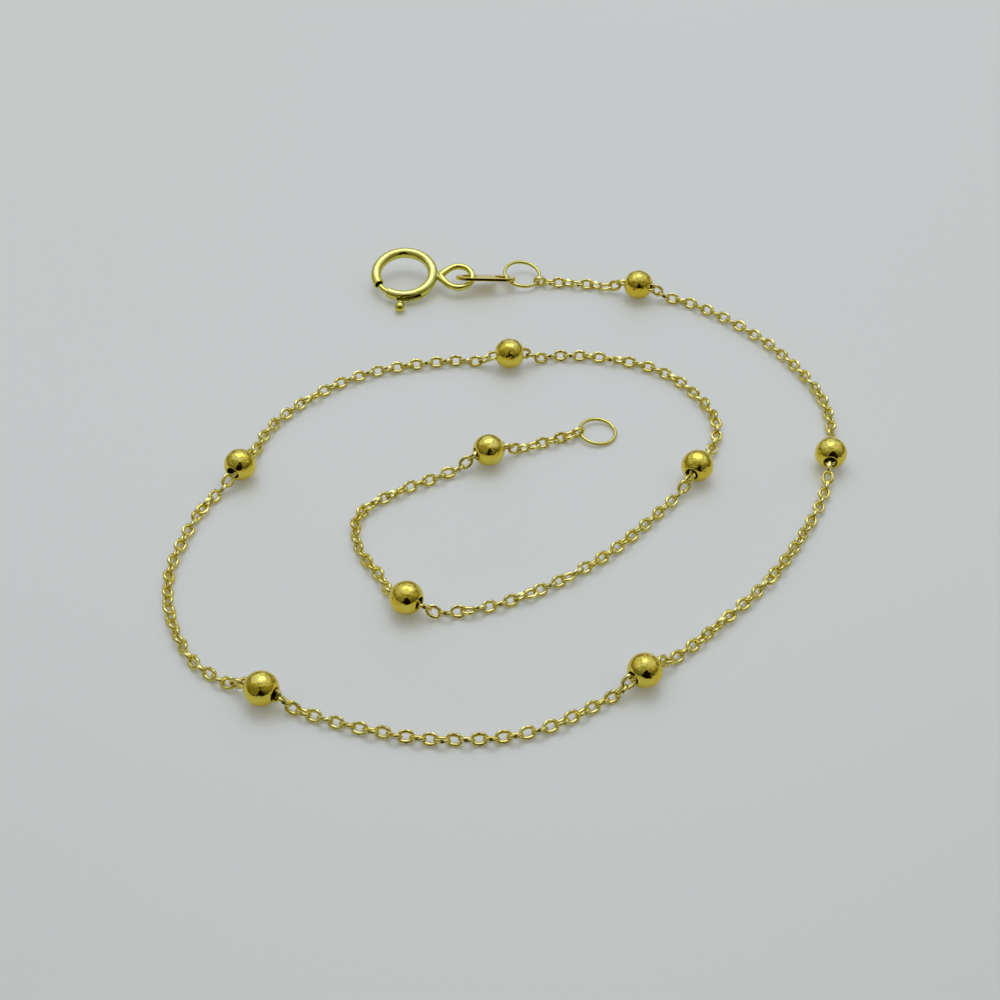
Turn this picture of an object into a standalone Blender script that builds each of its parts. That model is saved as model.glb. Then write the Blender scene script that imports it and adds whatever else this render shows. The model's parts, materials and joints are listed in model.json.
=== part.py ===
"""A station-bead cable chain anklet with a spring ring clasp, lying open on a flat surface.

Metres, +Z up, the surface at z = 0. +X points right and +Y away from someone who looks at it.
The fine cable links are one plain tube here, which ends in a real link at both ends.
"""
import math
from collections import namedtuple

import bmesh
import bpy
import numpy as np
from mathutils import Euler, Matrix, Vector

# %% Driving dimensions, in metres and radians

# The least room between two pieces that hold or pass one another.
CLEARANCE = 0.00010

GOLD_COLOUR = (0.80, 0.62, 0.22, 1.0)
GOLD_ROUGHNESS = 0.12

# The chain between the middles of its two end links. The route below is scaled to this length.
CHAIN_LENGTH = 0.23415

# The chain's cable links, and the tube that stands for all but the two last of them.
LINK_LENGTH = 0.00128
LINK_WIDTH = 0.00090
LINK_WIRE = 0.00022
CHAIN_DIAMETER = 0.00080
CHAIN_OFF_SURFACE = 0.00002
CHAIN_STEP = 0.0037

# A hollow ball bead and the hole through it.
BEAD_DIAMETER = 0.0025
BEAD_WALL = 0.00022
BORE_CLEARANCE = 0.00012
# How far beyond a bead the chain takes to come down to the surface.
BEAD_SLOPE = 0.0015

# The spring ring: a hollow ring with a gap that a sliding bolt closes.
CLASP_DIAMETER = 0.0058
CLASP_TUBE = 0.00086
CLASP_WALL = 0.00010
GATE_FIRST_ANGLE = math.radians(208)
GATE_LAST_ANGLE = math.radians(237)
BOLT_TAIL_ANGLE = math.radians(31)
BOLT_TRAVEL_ANGLE = math.radians(30)
KNOB_ANGLE = math.radians(265.5)
KNOB_DIAMETER = 0.00084
KNOB_STEM = 0.00034
KNOB_REACH = 0.00044

# The closed loop soldered to the ring, a drop shape with its point at the ring.
LOOP_WIDTH = 0.0030
LOOP_WIRE = 0.00055
LOOP_NECK = 0.00033
LOOP_ANGLE = math.radians(-4)

# The plain tag between the loop and the jump ring: its holes' spacing, and its metal round them.
TAG_THICKNESS = 0.00034
TAG_SPACING = 0.0029
TAG_RIM = 0.00036
TAG_TIP = 0.00054

# The plain rings at the two ends of the chain.
JUMP_DIAMETER = 0.0034
JUMP_WIRE = 0.00027
END_DIAMETER = 0.00314
END_WIRE = 0.00026

# How the fittings lie: turns about X, Y and Z, and where on a ring another wire crosses it.
CLASP_TURN = Euler((math.radians(12.5), 0, 0))
TAG_TURN = Euler((math.radians(-31), math.radians(6), math.radians(6)))
JUMP_TURN = Euler((math.radians(6), math.radians(8), 0))
JUMP_CHAIN_ANGLE = math.radians(-28)
JUMP_TAG_ANGLE = math.radians(210)
JUMP_LIFT = 0.00073
END_TURN = Euler((math.radians(2), math.radians(5.5), 0))
END_CHAIN_ANGLE = math.radians(190)
END_LIFT = 0.00029

# Where the chain lies, read off the photograph, from the clasp's end to the bare ring's end.
Stop = namedtuple("Stop", "x y holds")
ROUTE = (
    Stop(0.0022, 0.0243, ""),
    Stop(0.0067, 0.0239, ""),
    Stop(0.0107, 0.0228, "bead"),
    Stop(0.0155, 0.0210, ""),
    Stop(0.0215, 0.0153, ""),
    Stop(0.0250, 0.0079, ""),
    Stop(0.0245, 0.0010, "bead"),
    Stop(0.0234, -0.0032, ""),
    Stop(0.0192, -0.0108, ""),
    Stop(0.0135, -0.0172, ""),
    Stop(0.0087, -0.0214, "bead"),
    Stop(0.0059, -0.0234, ""),
    Stop(0.0010, -0.0261, ""),
    Stop(-0.0054, -0.0268, ""),
    Stop(-0.0121, -0.0254, ""),
    Stop(-0.0176, -0.0230, "bead"),
    Stop(-0.0227, -0.0199, ""),
    Stop(-0.0255, -0.0124, ""),
    Stop(-0.0239, -0.0044, ""),
    Stop(-0.0213, -0.0004, "bead"),
    Stop(-0.0193, 0.0055, ""),
    Stop(-0.0134, 0.0111, ""),
    Stop(-0.0057, 0.0133, ""),
    Stop(-0.0005, 0.0132, "bead"),
    Stop(0.0047, 0.0141, ""),
    Stop(0.0121, 0.0119, ""),
    Stop(0.0160, 0.0055, ""),
    Stop(0.0140, -0.0005, "bead"),
    Stop(0.0112, -0.0043, ""),
    Stop(0.0050, -0.0107, ""),
    Stop(-0.0028, -0.0148, ""),
    Stop(-0.0082, -0.0148, "bead"),
    Stop(-0.0102, -0.0114, ""),
    Stop(-0.0119, -0.0083, ""),
    Stop(-0.0119, -0.0050, ""),
    Stop(-0.0094, -0.0027, ""),
    Stop(-0.0055, -0.0005, ""),
    Stop(-0.0022, 0.0014, "bead"),
    Stop(0.0014, 0.0028, ""),
    Stop(0.0049, 0.0043, ""),
)
# The bead, counted from the clasp, inside which the chain's two halves meet.
MEETING_BEAD = 5

# How finely round shapes are cut.
BEAD_SIDES = 16
BEAD_RINGS = 8
RING_SEGMENTS = 28
WIRE_SIDES = 8
LINK_BEND_STEPS = 5
CLASP_SIDES = 12
CLASP_STEPS = 36
SLOT_STEPS = 10
LOOP_STEPS = 18
BOLT_STEPS = 12
KNOB_SIDES = 12
KNOB_RINGS = 6
TAG_END_STEPS = 8
TAG_HOLE_STEPS = 16
CURVE_STEPS = 24
WELD = 1e-7
SHARP_ANGLE = math.radians(50)

# %% Sizes that follow from the driving ones

CHAIN_LIFT = CHAIN_DIAMETER / 2 + CHAIN_OFF_SURFACE
BEAD_RADIUS = BEAD_DIAMETER / 2
BEAD_BORE = CHAIN_DIAMETER + 2 * BORE_CLEARANCE
# Along a bead's bore the chain runs straight, and a little beyond each mouth.
BEAD_STRAIGHT = BEAD_RADIUS + CLEARANCE
CLASP_RADIUS = (CLASP_DIAMETER - CLASP_TUBE) / 2
BOLT_WIRE = CLASP_TUBE - 2 * (CLASP_WALL + CLEARANCE)
JUMP_RADIUS = (JUMP_DIAMETER - JUMP_WIRE) / 2
END_RADIUS = (END_DIAMETER - END_WIRE) / 2
LOOP_RADIUS = (LOOP_WIDTH - LOOP_WIRE) / 2
LOOP_REACH = CLASP_DIAMETER / 2 + LOOP_NECK + LOOP_WIDTH / 2
KNOB_RADIUS = CLASP_DIAMETER / 2 + KNOB_REACH + KNOB_DIAMETER / 2
# The loop's wire passes the tag's hole at a slant, which takes a wider hole.
LOOP_SLANT = CLASP_TURN.x - TAG_TURN.x
TAG_HOLE = LOOP_WIRE / math.cos(LOOP_SLANT) + TAG_THICKNESS * math.tan(LOOP_SLANT) + 2 * CLEARANCE
TAG_WIDTH = TAG_HOLE + 2 * TAG_RIM
TAG_LENGTH = TAG_SPACING + TAG_HOLE + 2 * TAG_TIP


# %% Blender helpers

def new_collection(name):
    collection = bpy.data.collections.new(name)
    bpy.context.scene.collection.children.link(collection)
    return collection


def gold():
    """One polished yellow gold for every piece."""
    material = bpy.data.materials.new("gold")
    material.use_nodes = True
    shader = material.node_tree.nodes["Principled BSDF"]
    shader.inputs["Base Color"].default_value = GOLD_COLOUR
    shader.inputs["Metallic"].default_value = 1.0
    shader.inputs["Roughness"].default_value = GOLD_ROUGHNESS
    return material


def add_object(name, data, place=Matrix.Identity(4)):
    """Link mesh or curve data as a part at a place, in gold."""
    thing = bpy.data.objects.new(name, data)
    PARTS.objects.link(thing)
    thing.matrix_world = place
    if not data.materials:
        data.materials.append(GOLD)
    return thing


def bake(thing):
    """Turn a curve object into a mesh object with welded caps."""
    bpy.context.view_layer.update()
    evaluated = thing.evaluated_get(bpy.context.evaluated_depsgraph_get())
    mesh = bpy.data.meshes.new_from_object(evaluated)
    work = bmesh.new()
    work.from_mesh(mesh)
    bmesh.ops.remove_doubles(work, verts=work.verts, dist=WELD)
    bmesh.ops.recalc_face_normals(work, faces=work.faces)
    work.to_mesh(mesh)
    work.free()
    mesh.shade_smooth()
    mesh.set_sharp_from_angle(angle=SHARP_ANGLE)
    name, place = thing.name, thing.matrix_world.copy()
    bpy.data.objects.remove(thing)
    return add_object(name, mesh, place)


def combine(thing, other, operation):
    """Boolean one object with another, which stays in the scene as a hidden guide."""
    PARTS.objects.unlink(other)
    CUTTERS.objects.link(other)
    other.hide_render = True
    other.display_type = "WIRE"
    cut = thing.modifiers.new(other.name, "BOOLEAN")
    cut.operation = operation
    cut.object = other
    return thing


def wire(name, points, diameter, place=Matrix.Identity(4), closed=False):
    """A round wire through points, as a mesh object."""
    curve = bpy.data.curves.new(name, "CURVE")
    curve.dimensions = "3D"
    curve.bevel_depth = diameter / 2
    curve.bevel_resolution = WIRE_SIDES // 2 - 2
    curve.use_fill_caps = True
    add_spline(curve, points, closed)
    return bake(add_object(name, curve, place))


def add_spline(curve, points, closed=True):
    spline = curve.splines.new("POLY")
    spline.points.add(len(points) - 1)
    for target, point in zip(spline.points, points):
        target.co = (*point, 1.0)
    spline.use_cyclic_u = closed


def lathe(name, profile, place, steps, turn=math.tau, closed=True):
    """Turn a profile of (radius, height) points about Z, its outer side listed top to bottom."""
    mesh = bpy.data.meshes.new(name)
    edges = [(i, i + 1) for i in range(len(profile) - 1)]
    if closed:
        edges.append((len(profile) - 1, 0))
    mesh.from_pydata([(radius, 0, height) for radius, height in profile], edges, [])
    thing = add_object(name, mesh, place)
    screw = thing.modifiers.new("turn", "SCREW")
    screw.angle = turn
    screw.steps = steps
    screw.render_steps = steps
    screw.use_merge_vertices = True
    screw.merge_threshold = WELD
    return thing


def thicken(thing, thickness, offset):
    wall = thing.modifiers.new("wall", "SOLIDIFY")
    wall.thickness = thickness
    wall.offset = offset


def arc(radius, start, stop, count):
    """Points on an arc about the origin, from one angle to another."""
    angles = np.linspace(start, stop, count + 1)
    return [(radius * math.cos(a), radius * math.sin(a), 0.0) for a in angles]


def around(radius, angle):
    return Vector((radius * math.cos(angle), radius * math.sin(angle), 0.0))


# %% The chain's route

def route_curve():
    """A smooth plan curve through the stops (centripetal Catmull-Rom), and each stop's length along it.

    Points and lengths are scaled together, so that the whole curve is as long as the chain.
    """
    stops = [np.array((stop.x, stop.y)) for stop in ROUTE]
    padded = [2 * stops[0] - stops[1], *stops, 2 * stops[-1] - stops[-2]]
    pieces = []
    for a, b, c, d in zip(padded, padded[1:], padded[2:], padded[3:]):
        knots = np.cumsum([0.0] + [np.linalg.norm(q - p) ** 0.5 for p, q in ((a, b), (b, c), (c, d))])
        t = np.linspace(knots[1], knots[2], CURVE_STEPS, endpoint=False)[:, None]

        def blend(p, q, low, high):
            return ((high - t) * p + (t - low) * q) / (high - low)

        ab = blend(a, b, knots[0], knots[1])
        bc = blend(b, c, knots[1], knots[2])
        cd = blend(c, d, knots[2], knots[3])
        abc = blend(ab, bc, knots[0], knots[2])
        bcd = blend(bc, cd, knots[1], knots[3])
        pieces.append(blend(abc, bcd, knots[1], knots[2]))
    plan = np.vstack(pieces + [stops[-1][None]])
    along = np.concatenate(([0.0], np.cumsum(np.linalg.norm(np.diff(plan, axis=0), axis=1))))
    scale = CHAIN_LENGTH / along[-1]
    return plan * scale, along * scale, along[::CURVE_STEPS] * scale


PLAN, ALONG, STOP_AT = route_curve()
BEAD_AT = [at for at, stop in zip(STOP_AT, ROUTE) if stop.holds == "bead"]
CHAIN_ENDS = (ALONG[0], ALONG[-1])


def lift(at):
    """Height of the chain's middle: on the surface, and up through the middle of each bead."""
    down = CHAIN_LIFT
    for bead in BEAD_AT:
        share = min(max((abs(at - bead) - BEAD_STRAIGHT) / BEAD_SLOPE, 0.0), 1.0)
        bump = 1 - share * share * (3 - 2 * share)
        down = max(down, CHAIN_LIFT + (BEAD_RADIUS - CHAIN_LIFT) * bump)
    return down


def chain_point(at):
    """The chain's middle at a length along it."""
    return Vector((np.interp(at, ALONG, PLAN[:, 0]), np.interp(at, ALONG, PLAN[:, 1]), lift(at)))


def heading(start, stop):
    """The plan direction from one length along the chain to another."""
    step = chain_point(stop) - chain_point(start)
    return math.atan2(step.y, step.x)


def stations(start, stop):
    """Lengths along the chain for the tube's points: both ends of each slope, and even steps between."""
    marks = {start, stop}
    for bead_at in BEAD_AT:
        for reach in (BEAD_STRAIGHT, BEAD_STRAIGHT + BEAD_SLOPE):
            marks.update(at for at in (bead_at - reach, bead_at + reach) if start < at < stop)
    marks = sorted(marks)
    along = [start]
    for low, high in zip(marks, marks[1:]):
        steps = max(1, round((high - low) / CHAIN_STEP))
        along.extend(np.linspace(low, high, steps + 1)[1:])
    return along


# %% The pieces

def link(name, place):
    """One oval cable link about the origin, long along X."""
    half = (LINK_WIDTH - LINK_WIRE) / 2
    straight = (LINK_LENGTH - LINK_WIDTH) / 2
    right = [(x + straight, y, 0) for x, y, _ in arc(half, -math.pi / 2, math.pi / 2, LINK_BEND_STEPS)]
    left = [(x - straight, y, 0) for x, y, _ in arc(half, math.pi / 2, math.pi * 3 / 2, LINK_BEND_STEPS)]
    return wire(name, right + left, LINK_WIRE, place, closed=True)


def end_place(end):
    """Where the chain's first or last link stands: on edge, along the chain."""
    inward = end + (LINK_LENGTH if end == CHAIN_ENDS[0] else -LINK_LENGTH)
    turn = Euler((math.pi / 2, 0, heading(end, inward)))
    return Matrix.Translation(link_centre(end)) @ turn.to_matrix().to_4x4()


def link_centre(end):
    centre = chain_point(end)
    centre.z = LINK_WIDTH / 2 + CLEARANCE / 2
    return centre


def chain_half(name, start, stop):
    """A tube along the chain from one length to another, with a real link where the chain ends."""
    ends = [end for end in CHAIN_ENDS if end in (start, stop)]
    neck = (LINK_LENGTH - LINK_WIRE) / 2
    low = start + (neck if start in ends else 0)
    high = stop - (neck if stop in ends else 0)
    tube = wire(name, [chain_point(at) for at in stations(low, high)], CHAIN_DIAMETER)
    for end in ends:
        combine(tube, link(f"{name}_end_link", end_place(end)), "UNION")


def bead(number, at):
    """A thin-walled ball with its hole along the chain."""
    half_bore = BEAD_BORE / 2
    inner = BEAD_RADIUS - BEAD_WALL
    outer_edge = math.asin(half_bore / BEAD_RADIUS)
    inner_edge = math.asin(half_bore / inner)
    outside = np.linspace(outer_edge, math.pi - outer_edge, BEAD_RINGS + 1)
    inside = np.linspace(math.pi - inner_edge, inner_edge, BEAD_RINGS - 1)
    profile = [(BEAD_RADIUS * math.sin(a), BEAD_RADIUS * math.cos(a)) for a in outside]
    profile += [(inner * math.sin(a), inner * math.cos(a)) for a in inside]
    middle = (chain_point(at - BEAD_STRAIGHT) + chain_point(at + BEAD_STRAIGHT)) / 2
    turn = Euler((0, math.pi / 2, heading(at - BEAD_STRAIGHT, at + BEAD_STRAIGHT)))
    lathe(f"bead_{number}", profile, Matrix.Translation(middle) @ turn.to_matrix().to_4x4(), BEAD_SIDES)


def plain_ring(name, diameter, thickness, place):
    bpy.ops.mesh.primitive_torus_add(
        major_segments=RING_SEGMENTS, minor_segments=WIRE_SIDES,
        major_radius=(diameter - thickness) / 2, minor_radius=thickness / 2)
    made = bpy.context.active_object
    mesh = made.data
    mesh.shade_smooth()
    bpy.data.objects.remove(made)
    add_object(name, mesh, place)


def hooked_ring_place(end, radius, thickness, at, turn, height):
    """Where a ring lies that runs through the chain's last link, at an angle of its own circle."""
    seat = (LINK_LENGTH / 2 - LINK_WIRE) - thickness / 2 - CLEARANCE
    crossing = link_centre(end) - end_place(end).to_3x3().col[0] * seat
    centre = crossing - turn.to_matrix() @ around(radius, at)
    centre.z = height
    return Matrix.Translation(centre) @ turn.to_matrix().to_4x4()


def tag_place(jump_place):
    """The tag hangs with the jump ring at the outer side of its right hole."""
    crossing = jump_place @ around(JUMP_RADIUS, JUMP_TAG_ANGLE)
    seat = TAG_HOLE / 2 - JUMP_WIRE / 2 - CLEARANCE
    offset = Vector((TAG_SPACING / 2 + seat, 0, 0))
    return Matrix.Translation(crossing - TAG_TURN.to_matrix() @ offset) @ TAG_TURN.to_matrix().to_4x4()


def clasp_place(tag_at):
    """The clasp's loop runs through the tag's left hole, at the side next to the other hole."""
    seat = TAG_HOLE / 2 - LOOP_WIRE / 2 - CLEARANCE
    crossing = tag_at @ Vector((-TAG_SPACING / 2 + seat, 0, 0))
    tip = around(LOOP_REACH + LOOP_RADIUS, LOOP_ANGLE)
    return Matrix.Translation(crossing - CLASP_TURN.to_matrix() @ tip) @ CLASP_TURN.to_matrix().to_4x4()


def tag(place):
    """A flat plate with round ends and a hole at each end."""
    curve = bpy.data.curves.new("tag", "CURVE")
    curve.dimensions = "2D"
    curve.fill_mode = "BOTH"
    curve.extrude = TAG_THICKNESS / 2
    corner = TAG_WIDTH / 2
    straight = TAG_LENGTH / 2 - corner
    right = [(x + straight, y, 0) for x, y, _ in arc(corner, -math.pi / 2, math.pi / 2, TAG_END_STEPS)]
    left = [(x - straight, y, 0) for x, y, _ in arc(corner, math.pi / 2, math.pi * 3 / 2, TAG_END_STEPS)]
    add_spline(curve, right + left)
    for side in (-1, 1):
        circle = arc(TAG_HOLE / 2, 0, math.tau, TAG_HOLE_STEPS)[:-1]
        add_spline(curve, [(x + side * TAG_SPACING / 2, y, 0) for x, y, _ in circle])
    bake(add_object("tag", curve, place))


def clasp_body(place):
    """The ring's hollow tube, open at the gate and slotted for the knob, with its loop soldered on."""
    outside = [(CLASP_RADIUS + CLASP_TUBE / 2 * math.sin(a), CLASP_TUBE / 2 * math.cos(a))
               for a in np.linspace(0, math.tau, CLASP_SIDES + 1)[:-1]]
    turn = math.tau - (GATE_LAST_ANGLE - GATE_FIRST_ANGLE)
    shell = lathe("spring_ring", outside, place @ Matrix.Rotation(GATE_LAST_ANGLE, 4, "Z"), CLASP_STEPS, turn)
    thicken(shell, CLASP_WALL, -1)
    combine(shell, slot(place), "DIFFERENCE")
    combine(shell, loop(place), "UNION")


def slot(place):
    """A curved bar that clears the knob's stem through the tube's outer side over the bolt's travel."""
    half = KNOB_STEM / 2 + CLEARANCE
    spare = half / CLASP_RADIUS
    middle = CLASP_RADIUS + CLASP_TUBE / 2
    start = place @ Matrix.Rotation(KNOB_ANGLE - spare, 4, "Z")
    turn = BOLT_TRAVEL_ANGLE + 2 * spare
    bar = lathe("slot", [(middle, half), (middle, -half)], start, SLOT_STEPS, turn, closed=False)
    thicken(bar, CLASP_TUBE, 0)
    return bar


def loop(place):
    """A drop-shaped ring of wire whose point is sunk in the tube's wall."""
    point = LOOP_REACH - CLASP_DIAMETER / 2 + CLASP_WALL
    tangent = math.acos(LOOP_RADIUS / point)
    outline = arc(LOOP_RADIUS, tangent - math.pi, math.pi - tangent, LOOP_STEPS) + [(-point, 0, 0)]
    start = place @ Matrix.Rotation(LOOP_ANGLE, 4, "Z") @ Matrix.Translation((LOOP_REACH, 0, 0))
    return wire("loop", outline, LOOP_WIRE, start, closed=True)


def bolt(place):
    """The curved bolt that closes the gate, with its knob on a stem outside the ring."""
    tip = GATE_FIRST_ANGLE + CLEARANCE / CLASP_RADIUS
    rod = wire("bolt", arc(CLASP_RADIUS, tip, KNOB_ANGLE + BOLT_TAIL_ANGLE, BOLT_STEPS), BOLT_WIRE, place)
    half = KNOB_DIAMETER / 2
    ball = [(half * math.sin(a), half * math.cos(a)) for a in np.linspace(0, math.pi, KNOB_RINGS + 1)]
    knob_place = place @ Matrix.Translation(around(KNOB_RADIUS, KNOB_ANGLE))
    combine(rod, lathe("knob", ball, knob_place, KNOB_SIDES, closed=False), "UNION")
    stem = [around(CLASP_RADIUS, KNOB_ANGLE), around(KNOB_RADIUS, KNOB_ANGLE)]
    combine(rod, wire("stem", stem, KNOB_STEM, place), "UNION")


# %% Build

for old in list(bpy.data.objects):
    bpy.data.objects.remove(old)

PARTS = new_collection("chain_anklet")
CUTTERS = new_collection("cutters")
GOLD = gold()

meeting = BEAD_AT[MEETING_BEAD - 1]
chain_half("chain_outer", CHAIN_ENDS[0], meeting - CLEARANCE)
chain_half("chain_inner", meeting + CLEARANCE, CHAIN_ENDS[1])
for count, where in enumerate(BEAD_AT, start=1):
    bead(count, where)

jump_at = hooked_ring_place(CHAIN_ENDS[0], JUMP_RADIUS, JUMP_WIRE, JUMP_CHAIN_ANGLE, JUMP_TURN, JUMP_LIFT)
tag_at = tag_place(jump_at)
clasp_at = clasp_place(tag_at)
plain_ring("jump_ring", JUMP_DIAMETER, JUMP_WIRE, jump_at)
tag(tag_at)
clasp_body(clasp_at)
bolt(clasp_at)
end_at = hooked_ring_place(CHAIN_ENDS[1], END_RADIUS, END_WIRE, END_CHAIN_ANGLE, END_TURN, END_LIFT)
plain_ring("end_ring", END_DIAMETER, END_WIRE, end_at)
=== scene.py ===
# %% [markdown]
# # A gold anklet with ball beads, laid open on a pale table
#
# The anklet is a fine cable chain with nine hollow ball beads threaded on it. One end carries a spring
# ring clasp, a small plain tag and a jump ring, and the other end carries a bare ring that the clasp
# catches.
#
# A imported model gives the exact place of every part. This lesson dresses that model: it makes the real
# links where the model has a plain tube, gives the round parts finer surfaces, and finishes all of it
# in polished gold. Lengths are in metres, +Z is up, and the table's top is at z = 0.

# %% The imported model
import json
import math

import bmesh
import bpy
import numpy as np
from mathutils import Euler, Matrix, Vector


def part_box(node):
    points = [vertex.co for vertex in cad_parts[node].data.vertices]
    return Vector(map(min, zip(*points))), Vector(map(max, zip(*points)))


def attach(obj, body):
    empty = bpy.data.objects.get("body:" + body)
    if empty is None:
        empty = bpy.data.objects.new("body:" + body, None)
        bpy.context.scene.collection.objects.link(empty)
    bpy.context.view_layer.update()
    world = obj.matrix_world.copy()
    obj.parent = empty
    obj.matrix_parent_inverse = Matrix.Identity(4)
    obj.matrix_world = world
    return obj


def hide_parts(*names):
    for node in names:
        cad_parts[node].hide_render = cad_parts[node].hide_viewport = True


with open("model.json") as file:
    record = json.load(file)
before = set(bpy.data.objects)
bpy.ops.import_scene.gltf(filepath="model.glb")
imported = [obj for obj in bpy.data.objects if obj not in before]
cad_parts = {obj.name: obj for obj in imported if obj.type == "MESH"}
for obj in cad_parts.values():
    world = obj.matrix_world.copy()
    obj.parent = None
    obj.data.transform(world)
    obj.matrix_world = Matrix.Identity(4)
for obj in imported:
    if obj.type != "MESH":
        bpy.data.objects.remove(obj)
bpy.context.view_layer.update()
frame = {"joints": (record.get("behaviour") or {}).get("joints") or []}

# %% [markdown]
# ## The camera
#
# A photographer holds a phone in front of the table and looks down on the anklet. From the way the
# evenly spaced links draw together towards the back, the camera looks down at 43.5 degrees from about
# 14 cm away. It is made first, so that every piece can be judged from there.

# %% Camera
CAMERA_DOWN = math.radians(43.5)
CAMERA_PLACE = (-0.0013, -0.1033, 0.09518)
CAMERA_LENS, CAMERA_SENSOR, CAMERA_NEAR = 64.8, 36, 0.01

camera_data = bpy.data.cameras.new("camera")
camera_data.lens = CAMERA_LENS
camera_data.sensor_width = CAMERA_SENSOR
camera_data.clip_start = CAMERA_NEAR
camera = bpy.data.objects.new("camera", camera_data)
camera.location = CAMERA_PLACE
camera.rotation_euler = (math.pi / 2 - CAMERA_DOWN, 0, 0)
bpy.context.scene.collection.objects.link(camera)
bpy.context.scene.camera = camera
print("camera looks down at", round(math.degrees(CAMERA_DOWN), 1), "degrees")

# %% [markdown]
# ## Shapes from arrays
#
# Each new piece is a grid of points: rows run along it, columns run round it. The grid becomes a skin
# of four-sided faces between neighbouring rows and columns. Rows or columns that come back to their
# start are joined up, and a row that shrinks to a point is welded, so that every skin is closed like
# real metal. The signed volume of a closed skin is positive only when its faces look outwards, which is
# an easy test, and a skin that came out inside out is turned.

# %% Skins from grids
def skin(grid, close_rows=False, close_columns=True):
    """Points and quads of a grid: each quad joins row i, row i + 1, column j and column j + 1."""
    rows, columns = grid.shape[:2]
    index = np.arange(rows * columns).reshape(rows, columns)
    index = np.pad(index, ((0, int(close_rows)), (0, int(close_columns))), mode="wrap")
    quads = np.stack((index[:-1, :-1], index[1:, :-1], index[1:, 1:], index[:-1, 1:]), axis=-1)
    return grid.reshape(-1, 3), quads.reshape(-1, 4)


def volume(points, quads):
    """The space inside a closed skin: a sixth of each triangle's corner triple product, added up."""
    a, b, c, d = (points[quads[:, k]] for k in range(4))
    return float((a * (np.cross(b, c) + np.cross(c, d))).sum() / 6)


def outward(points, quads):
    """The same skin with its faces looking outwards."""
    return (points, quads) if volume(points, quads) > 0 else (points, quads[:, ::-1])


def piece(name, skins, material, place=None, weld=0.0):
    """A mesh object from skins, put in its place, welded where points meet, and shaded smooth."""
    starts = np.cumsum([0] + [len(points) for points, quads in skins])
    points = np.concatenate([points for points, quads in skins])
    quads = np.concatenate([one[1] + start for one, start in zip(skins, starts)])
    mesh = bpy.data.meshes.new(name)
    mesh.from_pydata(points.tolist(), [], quads.tolist())
    if place is not None:
        mesh.transform(place)
    if weld:
        work = bmesh.new()
        work.from_mesh(mesh)
        bmesh.ops.remove_doubles(work, verts=work.verts, dist=weld)
        bmesh.ops.recalc_face_normals(work, faces=work.faces)
        work.to_mesh(mesh)
        work.free()
    mesh.shade_smooth()
    mesh.materials.append(material)
    thing = bpy.data.objects.new(name, mesh)
    bpy.context.scene.collection.objects.link(thing)
    print(f"{name}: {len(mesh.vertices)} points, {len(mesh.polygons)} faces")
    return thing


print("a grid of 5 rows and 4 columns makes", len(skin(np.zeros((5, 4, 3)))[1]), "quads")

# %% [markdown]
# ## Materials as sums
#
# A node material is arithmetic on numbers that vary over a surface. The small class below wraps one
# output socket, so that `1 - mask * 0.5` in Python lays down the Math nodes for it. Any other kind of
# node comes from its `node` method.

# %% A socket that does sums
class Flow:
    """One output of a node tree. Sums on it add Math nodes, and node() adds any other kind of node."""

    def __init__(self, tree, socket=None):
        self.tree = tree
        self.socket = socket

    def node(self, kind, settings=None, sockets=None, output=0):
        made = self.tree.nodes.new(kind)
        for name, value in (settings or {}).items():
            setattr(made, name, value)
        for key, value in (sockets or {}).items():
            if isinstance(value, Flow):
                self.tree.links.new(value.socket, made.inputs[key])
            else:
                made.inputs[key].default_value = value
        return Flow(self.tree, made.outputs[output])

    def math(self, operation, *values):
        return self.node("ShaderNodeMath", {"operation": operation}, dict(enumerate(values)))

    def __add__(self, other):
        return self.math("ADD", self, other)

    def __sub__(self, other):
        return self.math("SUBTRACT", self, other)

    def __rsub__(self, other):
        return self.math("SUBTRACT", other, self)

    def __mul__(self, other):
        return self.math("MULTIPLY", self, other)

    def __abs__(self):
        return self.math("ABSOLUTE", self)

    __radd__ = __add__
    __rmul__ = __mul__

    def step(self, low, high):
        """0 below low, 1 above high, and a smooth rise between."""
        return self.node("ShaderNodeMapRange", {"interpolation_type": "SMOOTHSTEP"},
                         {"Value": self, "From Min": low, "From Max": high})


MIX_FIRST, MIX_SECOND, MIX_RESULT = 6, 7, 2
COORDINATE_OUTPUT = {"Generated": 0, "Object": 3}
ATTRIBUTE_NUMBER = 2


def mixed(flow, factor, first, second):
    """A colour between two colours."""
    sockets = {"Factor": factor, MIX_FIRST: first, MIX_SECOND: second}
    return flow.node("ShaderNodeMix", {"data_type": "RGBA"}, sockets, MIX_RESULT)


def coordinates(flow, output="Object"):
    """The place of each point on the object itself, or the direction of the sky with Generated."""
    return flow.node("ShaderNodeTexCoord", output=COORDINATE_OUTPUT[output])


def noise(flow, where, scale, detail=2.0):
    """Smooth random values round 0.5, with blobs about 1 / scale wide."""
    return flow.node("ShaderNodeTexNoise", None, {"Vector": where, "Scale": scale, "Detail": detail})


def attribute(flow, name):
    """A number that is stored on the mesh's points."""
    return flow.node("ShaderNodeAttribute", {"attribute_name": name}, output=ATTRIBUTE_NUMBER)
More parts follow.
